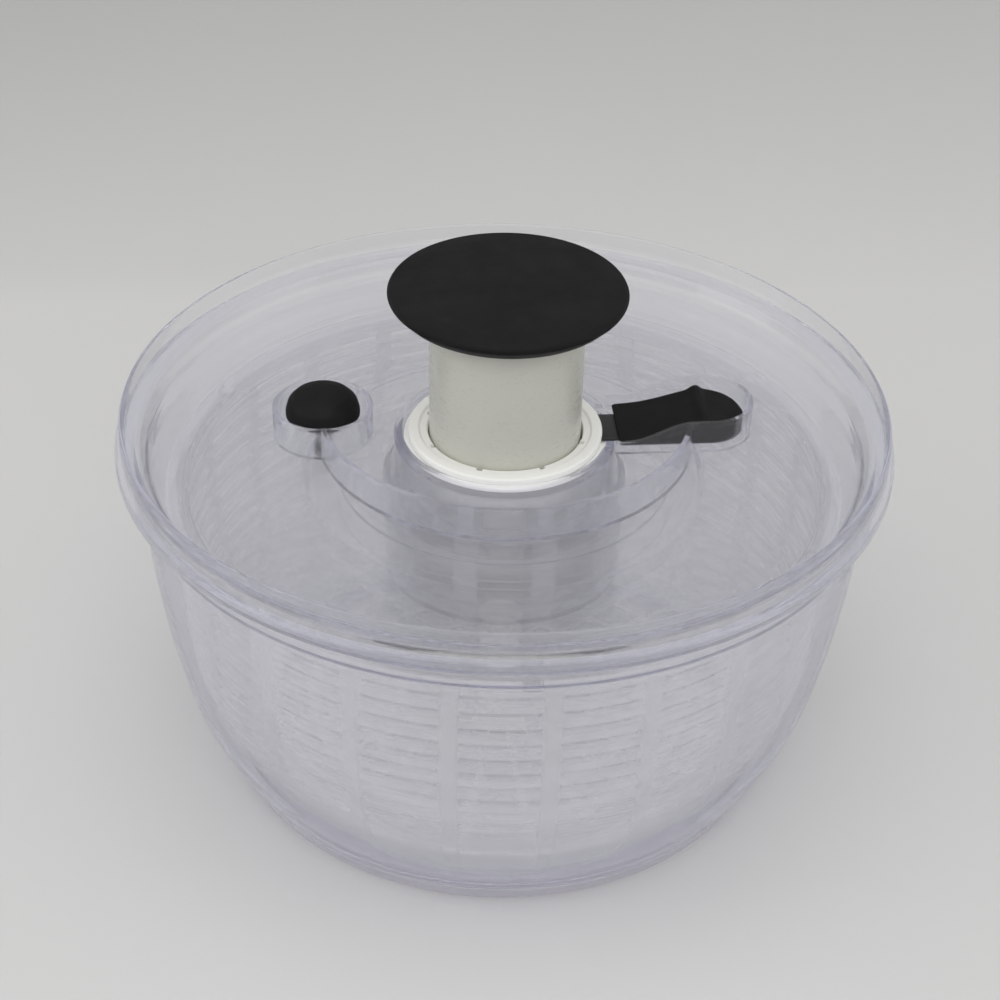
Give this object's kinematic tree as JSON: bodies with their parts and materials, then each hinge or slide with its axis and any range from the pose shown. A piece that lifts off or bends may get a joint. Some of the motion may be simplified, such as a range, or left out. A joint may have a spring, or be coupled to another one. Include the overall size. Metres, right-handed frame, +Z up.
{
  "type": "salad spinner",
  "caption": "Pump-action salad spinner: a clear bowl with a slotted basket that turns on a pivot, and a clear lid with a press knob, brake button and knob lock.",
  "frame": {"origin": "centre of the base, on the plane the object stands on", "axes": "+Z up along the axis of bowl, basket and pump; +X towards the knob lock lever; the brake button is near -X"},
  "size_m": [0.2764, 0.2764, 0.1918],
  "materials": {
    "clear_plastic": "clear moulded styrene plastic, polished, edges look faintly lavender",
    "frosted_plastic": "translucent white moulded plastic, satin",
    "grip_ring": "translucent soft grip plastic, matt",
    "white_plastic": "white moulded plastic, satin",
    "tube_plastic": "warm white moulded plastic, semi-gloss",
    "black_soft": "soft-touch black, matt, finely textured",
    "black_plastic": "black moulded plastic, satin",
    "grey_plastic": "grey moulded plastic, satin",
    "grey_rubber": "dark grey rubber, matt",
    "bearing_brass": "plain sintered bearing metal",
    "steel": "bright drawn stainless steel"
  },
  "bodies": {
    "bowl_base": {"bowl": "clear_plastic", "base_grip_ring": "grip_ring"},
    "basket_seat": {"pivot_bush": "white_plastic"},
    "basket_body": {"basket": "frosted_plastic"},
    "lid": {"lid_shell": "clear_plastic", "collar_ring": "white_plastic", "pump_housing": "white_plastic", "guide_bush": "white_plastic", "disc_bearing_ring": "white_plastic", "spindle_bearing": "bearing_brass", "return_spring": "steel", "brake_spring": "steel"},
    "pump": {"knob_cap": "black_soft", "knob_core": "black_plastic", "knob_screw": "steel", "pump_tube": "tube_plastic", "drive_nut": "white_plastic"},
    "spindle": {"drive_spindle": "white_plastic", "spring_seat": "white_plastic", "clutch_rotor": "grey_plastic", "rotor_screw": "steel", "clutch_pawl_1": "steel", "clutch_pawl_2": "steel"},
    "drive": {"drive_disc": "clear_plastic", "ratchet_ring": "white_plastic", "hub_cap": "clear_plastic", "hub_screw_1": "steel", "hub_screw_2": "steel", "hub_screw_3": "steel"},
    "brake": {"brake_button": "black_soft", "brake_stem": "grey_plastic", "brake_pad": "grey_rubber"},
    "lock": {"lock_lever": "black_soft", "lock_slide": "black_plastic"}
  },
  "joints": [
    {"name": "lid_lift", "type": "slide", "parent": "bowl_base", "child": "lid", "axis": [0, 0, 1], "range_m": [0, 0.3]},
    {"name": "basket_lift", "type": "slide", "parent": "bowl_base", "child": "basket_seat", "axis": [0, 0, 1], "range_m": [0, 0.15]},
    {"name": "basket_spin", "type": "hinge", "parent": "basket_seat", "child": "basket_body", "pos_m": [0, 0, 0.015], "axis": [0, 0, 1], "continuous": true},
    {"name": "drive_spin", "type": "hinge", "parent": "lid", "child": "drive", "pos_m": [0, 0, 0.1], "axis": [0, 0, 1], "continuous": true},
    {"name": "pump_press", "type": "slide", "parent": "lid", "child": "pump", "axis": [0, 0, -1], "range_m": [0, 0.04], "stiffness_N_per_m": 150, "springref_m": -0.025, "deforming": ["return_spring"]},
    {"name": "spindle_turn", "type": "hinge", "parent": "lid", "child": "spindle", "pos_m": [0, 0, 0.1], "axis": [0, 0, 1], "range_deg": [0, 360]},
    {"name": "brake_press", "type": "slide", "parent": "lid", "child": "brake", "axis": [0, 0, -1], "range_m": [0, 0.004], "stiffness_N_per_m": 500, "springref_m": -0.002, "deforming": ["brake_spring"]},
    {"name": "lock_slide_in", "type": "slide", "parent": "lid", "child": "lock", "axis": [-1, 0, 0], "range_m": [0, 0.0046]}
  ],
  "couplings": [
    {"joint": "basket_lift", "follows": "lid_lift", "ratio": 0.5},
    {"joint": "basket_spin", "follows": "drive_spin", "ratio": 1},
    {"joint": "spindle_turn", "follows": "pump_press", "rad_per_m": 157.08}
  ]
}
